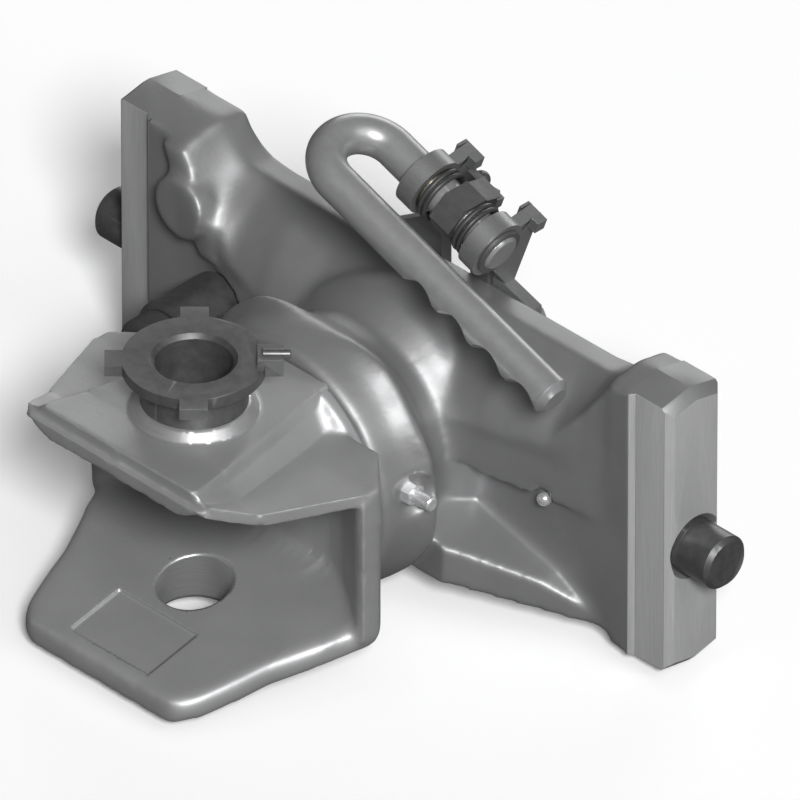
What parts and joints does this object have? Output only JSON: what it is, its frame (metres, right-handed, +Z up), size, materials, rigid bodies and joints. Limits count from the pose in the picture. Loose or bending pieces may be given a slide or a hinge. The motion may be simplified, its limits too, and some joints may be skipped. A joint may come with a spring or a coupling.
{
  "type": "towing jaw hitch",
  "caption": "Height-adjustable tractor towing jaw with a swivelling two-plate mouth, a guide bush for the drop pin, side locking bolts and a hairpin lift handle.",
  "frame": {"origin": "coupling point, where the axis of the coupling pin's bore crosses the swivel axis of the jaw's shank", "axes": "+Z up along the coupling pin's bore, +Y towards the tractor along the swivel axis, +X to the right seen from the trailer"},
  "size_m": [0.367, 0.2211, 0.1966],
  "materials": {
    "carriage_casting": "satin",
    "jaw_casting": "satin",
    "guide_bush_steel": "satin",
    "lock_steel": "satin",
    "plate_steel": "satin",
    "handle_steel": "satin",
    "spring_steel": "satin",
    "bearing_bronze": "satin",
    "zinc_fasteners": "satin",
    "nipple_steel": "satin",
    "knob_black": "matte"
  },
  "bodies": {
    "carriage_body": {"carriage": "carriage_casting", "hub_front_bush": "bearing_bronze", "hub_rear_bush": "bearing_bronze", "thrust_ring": "lock_steel", "brake_disc_springs": "spring_steel", "rear_cover": "plate_steel", "cover_screws": "zinc_fasteners", "lift_plate_guide_screws": "zinc_fasteners", "ear_bushes": "bearing_bronze", "bracket_screws": "zinc_fasteners", "left_bracket_ear": "plate_steel", "right_bracket_ear": "plate_steel", "hub_grease_nipple": "nipple_steel", "bolt_grease_nipple": "nipple_steel", "plunger_housing": "lock_steel", "left_bolt_spring": "spring_steel", "right_bolt_spring": "spring_steel"},
    "jaw_body": {"jaw": "jaw_casting", "pin_guide_bush": "guide_bush_steel", "bush_lock_pin": "lock_steel", "shank_washer": "plate_steel", "shank_nut": "zinc_fasteners", "split_pin": "zinc_fasteners"},
    "handle_body": {"handle": "handle_steel", "drive_block": "lock_steel", "shaft_retaining_ring": "spring_steel", "handle_return_spring": "spring_steel"},
    "lift_plate_body": {"lift_plate": "plate_steel"},
    "left_bolt_body": {"left_locking_bolt": "lock_steel", "left_drive_pin": "lock_steel"},
    "right_bolt_body": {"right_locking_bolt": "lock_steel", "right_drive_pin": "lock_steel"},
    "plunger_body": {"plunger_knob": "knob_black"}
  },
  "joints": [
    {"name": "jaw_swivel", "type": "hinge", "parent": "carriage_body", "child": "jaw_body", "pos_m": [0, 0.0464, 0], "axis": [0, 1, 0], "range_deg": [-90, 90]},
    {"name": "handle_lift", "type": "hinge", "parent": "carriage_body", "child": "handle_body", "pos_m": [0.0498, 0.13, 0.0957], "axis": [-0.9391, 0, 0.3437], "range_deg": [0, 50], "stiffness_Nm_per_rad": 1.2, "springref_deg": -57.3},
    {"name": "lift_plate_slide", "type": "slide", "parent": "carriage_body", "child": "lift_plate_body", "axis": [0, 0, -1], "range_m": [0, 0.0148]},
    {"name": "left_bolt_slide", "type": "slide", "parent": "carriage_body", "child": "left_bolt_body", "axis": [1, 0, 0], "range_m": [0, 0.0191], "deforming": ["left_bolt_spring"]},
    {"name": "right_bolt_slide", "type": "slide", "parent": "carriage_body", "child": "right_bolt_body", "axis": [-1, 0, 0], "range_m": [0, 0.0191], "deforming": ["right_bolt_spring"]},
    {"name": "plunger_pull", "type": "slide", "parent": "carriage_body", "child": "plunger_body", "axis": [0, -1, 0], "range_m": [0, 0.008], "stiffness_N_per_m": 1500, "springref_m": -0.01}
  ],
  "couplings": [
    {"joint": "lift_plate_slide", "follows": "handle_lift", "m_per_rad": 0.016867},
    {"joint": "left_bolt_slide", "follows": "handle_lift", "m_per_rad": 0.021772},
    {"joint": "right_bolt_slide", "follows": "handle_lift", "m_per_rad": 0.021772}
  ]
}
